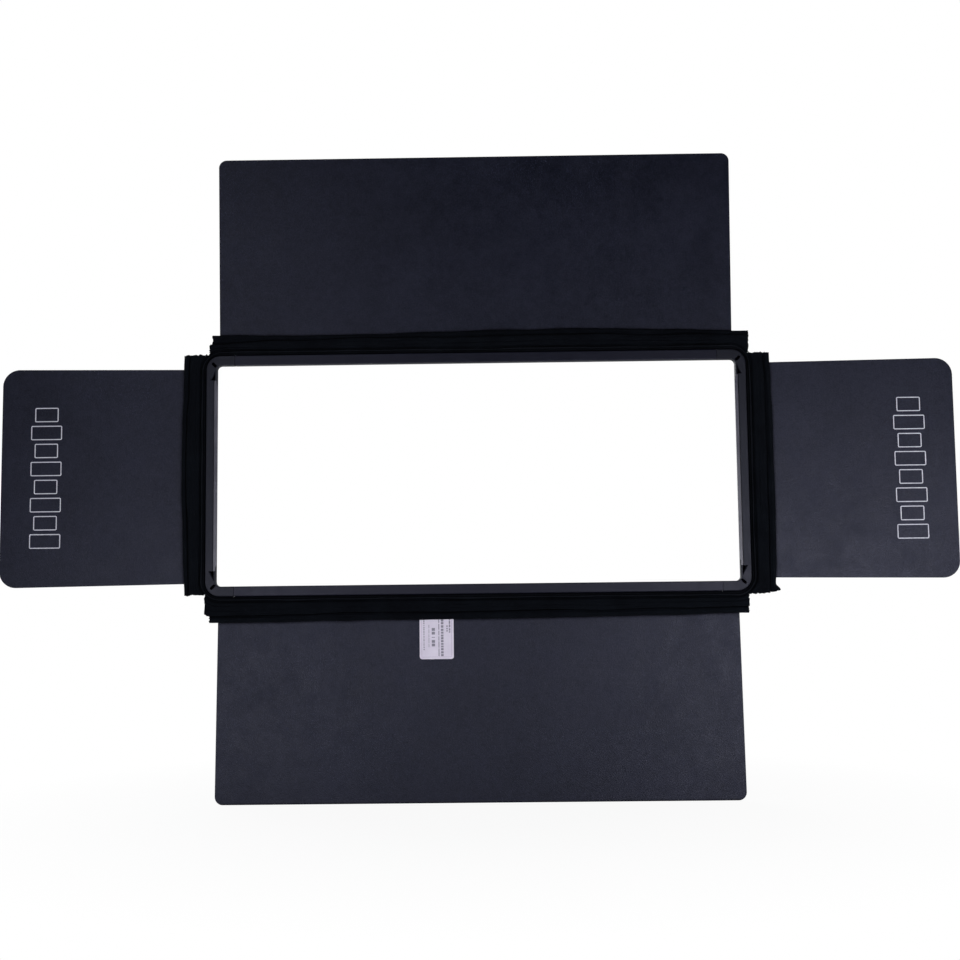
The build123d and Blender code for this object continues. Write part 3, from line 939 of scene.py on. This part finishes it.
# Columns of bars, in mm: place across the sticker, bar width, shortest and longest bar, lowest and highest
# bar above the sticker's lower edge.
PRINT_COLUMNS = (
    (-14.9, 1.3, 0.9, 1.7, 10.5, 47.0),
    (-9.1, 0.6, 3.0, 7.0, 14.0, 36.5),
    (2.6, 1.0, 5.0, 10.0, 3.4, 46.9),
    (6.5, 3.0, 1.9, 2.9, 3.4, 46.9),
    (12.2, 1.6, 1.4, 2.1, 32.0, 39.5),
    (15.2, 1.7, 1.6, 3.4, 30.7, 47.3),
)
# Shortest and longest gap between the bars of a column, in mm.
BAR_GAPS = (0.5, 1.2)
# Heavy blocks, in mm: height of the middle above the lower edge, and length. Then their place and width.
PRINT_BLOCKS = ((16.5, 3.3), (20.6, 3.3), (25.4, 0.8), (30.3, 3.3), (34.6, 3.3))
BLOCK_PLACE = -3.9
BLOCK_WIDTH = 3.8
# The border's distance from the sticker's edge, the radius of its corners and the width of its line.
BORDER_MARGIN = 2.4 * MM
BORDER_CORNER = 1.5 * MM
BORDER_STROKE = 0.2 * MM


def make_sticker_print():
    """Plain bars and a thin border on the sticker, in place of printing."""
    rng = np.random.default_rng(5)
    low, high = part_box("label_sticker")
    base = Vector(((low.x + high.x) / 2, low.y, low.z))
    width, height = high.x - low.x, high.z - low.z
    work = bmesh.new()
    border = (width - 2 * BORDER_MARGIN, height - 2 * BORDER_MARGIN)
    add_ring(work, base + UP * height / 2, *border, BORDER_CORNER, BORDER_STROKE)

    def add_bar(across, up, bar_width, bar_height):
        place = base + (ACROSS * across + UP * up) * MM
        add_patch(work, place, bar_width * MM, bar_height * MM)

    for up, length in PRINT_BLOCKS:
        add_bar(BLOCK_PLACE, up, BLOCK_WIDTH, length)
    for across, bar_width, shortest, longest, start, end in PRINT_COLUMNS:
        travel = start
        while travel < end:
            length = rng.uniform(shortest, longest)
            add_bar(across, travel + length / 2, bar_width, length)
            travel += length + rng.uniform(*BAR_GAPS)
    finish_print(work, "sticker_print", TYPE, "bottom_leaf_body")


make_sticker_print()

# ------------------------------------------------------------------ floor, light and camera

WHITE = (1.0, 1.0, 1.0)
FLOOR_TONES = ((0.84, 0.84, 0.85), (0.88, 0.88, 0.89))
# Half the floor's side, in metres, and its clearance under the lowest edge.
FLOOR_HALF = 8.0
FLOOR_GAP = 0.5 * MM
# The floor turns from nearly white to white for the camera between these distances from the origin.
FADE_START, FADE_END = 0.42, 0.75
FADE_SHARE = 0.93
# How brightly the surroundings light the object, on the camera's side and behind the object, their colour,
# and between which parts along Y of a direction one side turns into the other.
FRONT_ROOM, BACK_ROOM = 0.004, 0.45
ROOM_COLOUR = (0.86, 0.91, 1.0)
ROOM_FRONT, ROOM_BACK = -0.25, 0.35


def make_floor():
    """Pale floor under the lowest edge, fading into the white surroundings."""
    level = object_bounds()[0].z - FLOOR_GAP
    mesh = bpy.data.meshes.new("floor")
    signs = ((-1, -1), (1, -1), (1, 1), (-1, 1))
    corners = [(sx * FLOOR_HALF, sy * FLOOR_HALF, level) for sx, sy in signs]
    mesh.from_pydata(corners, [], [(0, 1, 2, 3)])
    material, nodes, place = new_material("floor")
    pale = nodes.tint(nodes.noise(place, scale=30.0, detail=3.0), *FLOOR_TONES)
    matt = nodes.add("ShaderNodeBsdfDiffuse", Color=pale)
    glow = nodes.add("ShaderNodeEmission", Color=WHITE, Strength=1.0)
    seen = nodes.add("ShaderNodeLightPath").outputs["Is Camera Ray"]
    far = nodes.add("ShaderNodeVectorMath", Vector=place)
    far.operation = "LENGTH"
    fade = nodes.ramp(far.outputs["Value"], FADE_START, FADE_END, FADE_SHARE, 1.0)
    mix = nodes.add("ShaderNodeMixShader", Fac=nodes.math("MULTIPLY", seen, fade))
    nodes.put(mix.inputs[1], matt.outputs[0])
    nodes.put(mix.inputs[2], glow.outputs[0])
    nodes.add("ShaderNodeOutputMaterial", Surface=mix.outputs[0])
    add_object("floor", mesh, material)


def make_world():
    """White surroundings for the camera. As a light they're bright behind the object and dim before it."""
    world = bpy.data.worlds.new("studio")
    bpy.context.scene.world = world
    world.use_nodes = True
    nodes = Nodes(world.node_tree)
    seen = nodes.add("ShaderNodeLightPath").outputs["Is Camera Ray"]
    way = nodes.add("ShaderNodeTexCoord").outputs["Generated"]
    split = nodes.add("ShaderNodeSeparateXYZ", Vector=way)
    strength = nodes.ramp(split.outputs["Y"], ROOM_FRONT, ROOM_BACK, FRONT_ROOM, BACK_ROOM)
    room = nodes.add("ShaderNodeBackground", Color=ROOM_COLOUR, Strength=strength)
    white = nodes.add("ShaderNodeBackground", Color=WHITE, Strength=1.0)
    mix = nodes.add("ShaderNodeMixShader", Fac=seen)
    nodes.put(mix.inputs[1], room.outputs[0])
    nodes.put(mix.inputs[2], white.outputs[0])
    nodes.add("ShaderNodeOutputWorld", Surface=mix.outputs[0])


COOL = (0.94, 0.93, 1.0)
# Soft lights: name, place, the point it is aimed at, size in metres, power in watts, colour.
SOFTBOXES = (
    ("low_right", (0.85, -1.0, -0.20), (0.45, 0.0, -0.15), (0.5, 0.32), 3.9, COOL),
    ("low_middle", (0.62, -1.05, -0.26), (0.35, 0.0, -0.25), (0.3, 0.22), 4.4, COOL),
    ("low_left", (-0.50, -0.95, -0.27), (-0.2, 0.0, -0.3), (0.3, 0.2), 3.4, COOL),
    ("high_left", (-0.50, -0.70, 0.45), (-0.30, 0.0, 0.13), (0.2, 0.2), 0.9, COOL),
    ("back", (-1.6, 2.8, 1.2), (0.0, 0.0, 0.0), (2.0, 2.0), 45.0, WHITE),
)


def add_softbox(name, place, aim, size, power, colour):
    """Rectangular soft light that points at a place."""
    light = bpy.data.lights.new(name, "AREA")
    light.shape = "RECTANGLE"
    light.size, light.size_y = size
    light.energy = power
    light.color = colour
    made = bpy.data.objects.new(name, light)
    made.location = place
    made.rotation_mode = "QUATERNION"
    made.rotation_quaternion = (Vector(aim) - Vector(place)).to_track_quat("-Z", "Y")
    bpy.context.scene.collection.objects.link(made)


# How the camera sees the object: turns in degrees, then the origin's place in the camera's view in metres,
# to the right, ahead and up.
TILT, YAW, ROLL = -5.33, -0.68, -0.64
ORIGIN_SEEN = (-0.0041, 1.600, 0.0095)
# Sensor width and focal length in mm, and how near and far the camera sees, in metres.
SENSOR, LENS = 36.0, 50.8275
NEAREST, FARTHEST = 0.05, 50.0


def make_camera():
    """Camera a little below the middle, looking slightly up."""
    tilt, yaw, roll = (math.radians(angle) for angle in (TILT, YAW, ROLL))
    turn = Matrix.Rotation(roll, 3, "Y") @ Matrix.Rotation(tilt, 3, "X") @ Matrix.Rotation(yaw, 3, "Z")
    back = turn.transposed()
    right, forward, up = (back @ Vector(axis) for axis in ((1, 0, 0), (0, 1, 0), (0, 0, 1)))
    place = -(back @ Vector(ORIGIN_SEEN))
    data = bpy.data.cameras.new("camera")
    data.sensor_width = SENSOR
    data.lens = LENS
    data.clip_start = NEAREST
    data.clip_end = FARTHEST
    camera = bpy.data.objects.new("camera", data)
    bpy.context.scene.collection.objects.link(camera)
    axes = Matrix((right, up, -forward)).transposed().to_4x4()
    camera.matrix_world = Matrix.Translation(place) @ axes
    bpy.context.scene.camera = camera


make_floor()
make_world()
for softbox in SOFTBOXES:
    add_softbox(*softbox)
make_camera()
bpy.context.scene.view_settings.view_transform = "Standard"
